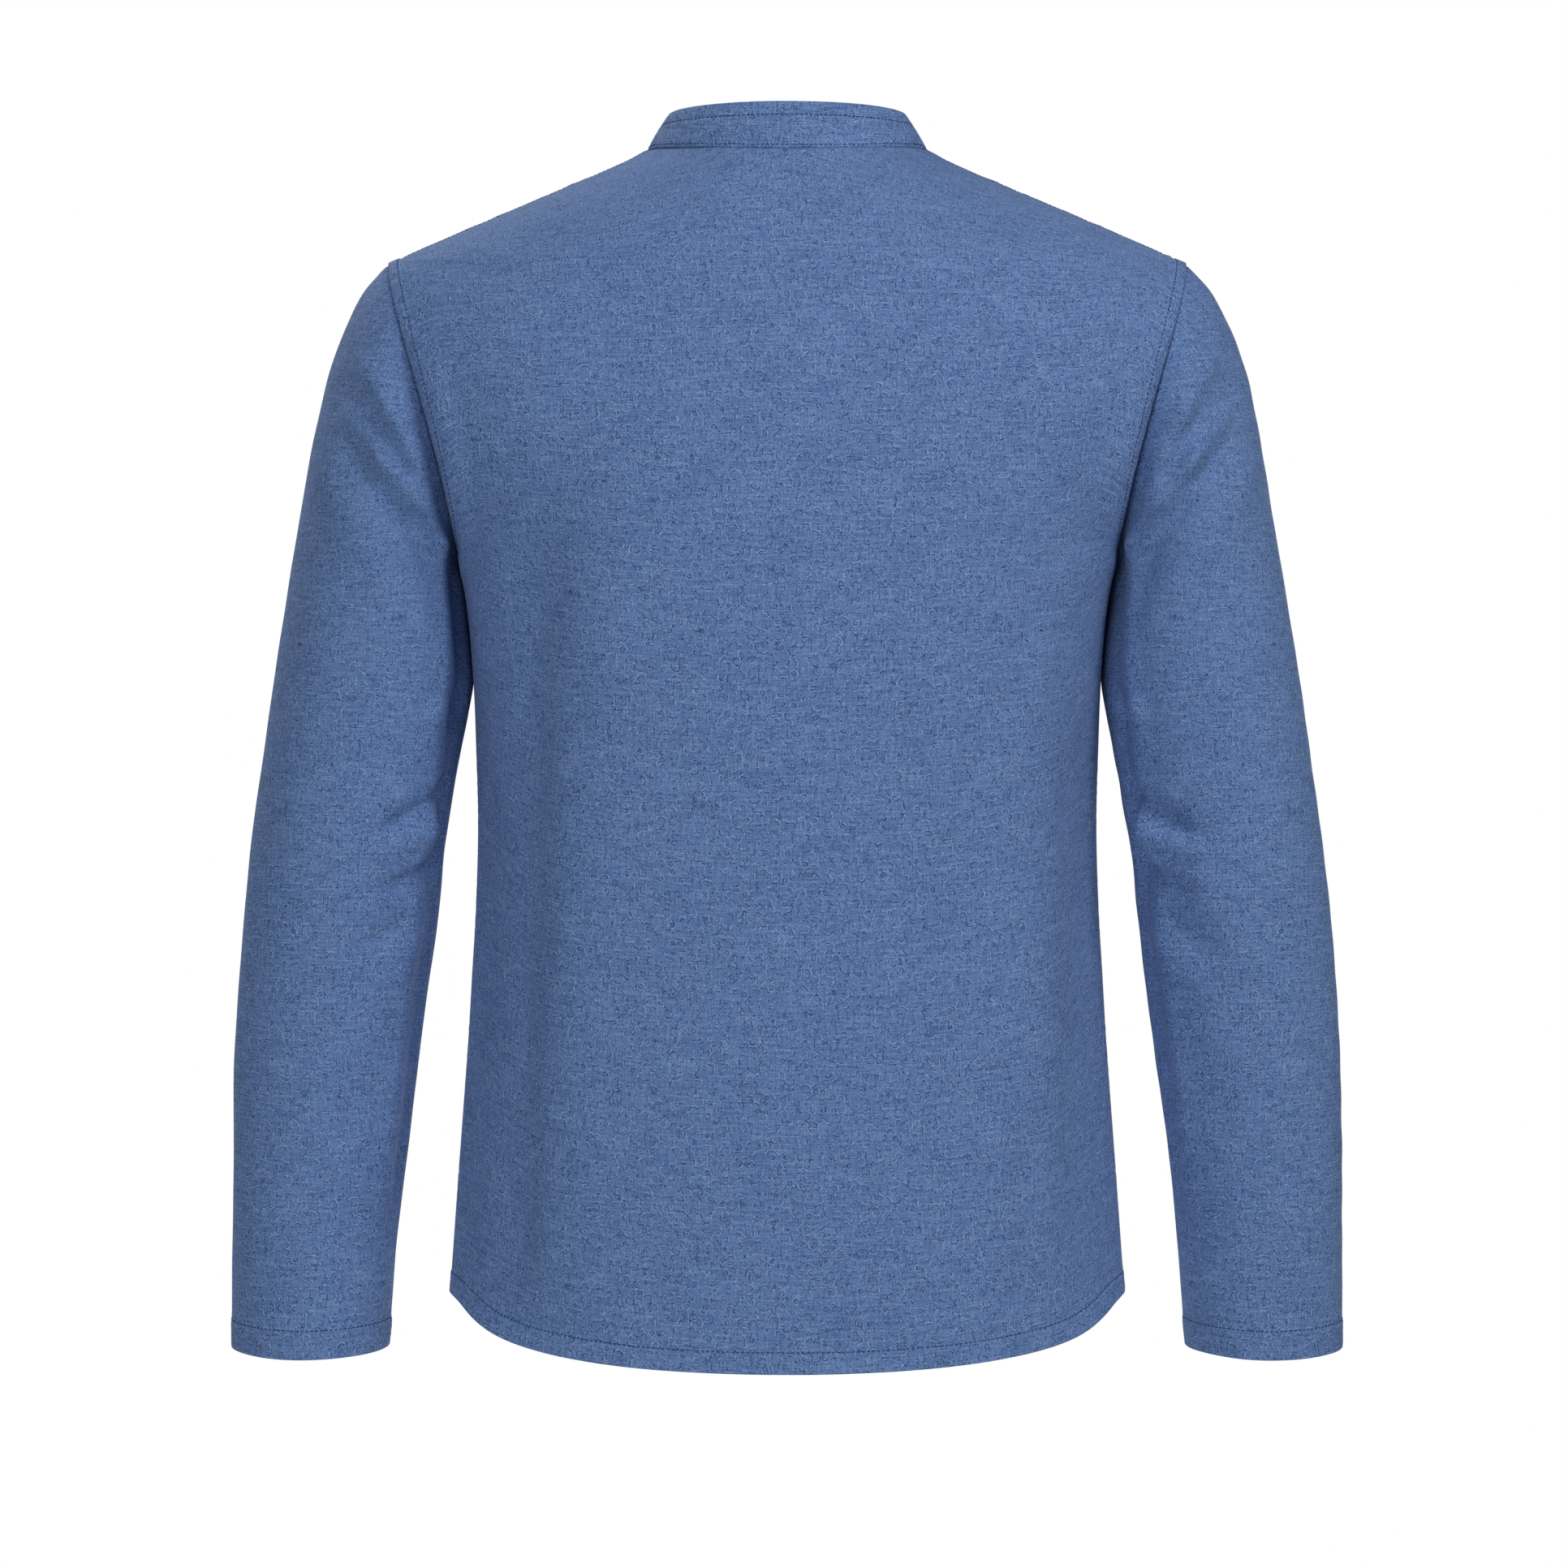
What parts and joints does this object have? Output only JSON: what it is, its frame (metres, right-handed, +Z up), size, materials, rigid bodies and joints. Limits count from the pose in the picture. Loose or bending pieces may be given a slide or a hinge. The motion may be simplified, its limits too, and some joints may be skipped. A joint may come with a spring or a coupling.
{
  "type": "short kurta",
  "caption": "Long-sleeved short kurta with a narrow band collar, half placket and curved hem, filled out as worn, hollow and open at neck, hem and cuffs.",
  "frame": {"origin": "midway between the two neck points, at the base of the collar, where the shoulders hold the garment up", "axes": "+Z up, +Y out of the back, -Y out of the front, +X towards the wearer's left"},
  "size_m": [0.6514, 0.2453, 0.725],
  "materials": {
    "cloth": "plain woven cotton chambray, slubbed, washed, matt",
    "button": "moulded resin, dyed to match, polished"
  },
  "bodies": {
    "root": {"back": "cloth", "front": "cloth", "sleeve_left": "cloth", "sleeve_right": "cloth", "collar": "cloth", "placket_over": "cloth", "placket_under": "cloth", "button_1": "button", "button_2": "button", "button_3": "button", "button_4": "button"}
  },
  "joints": []
}
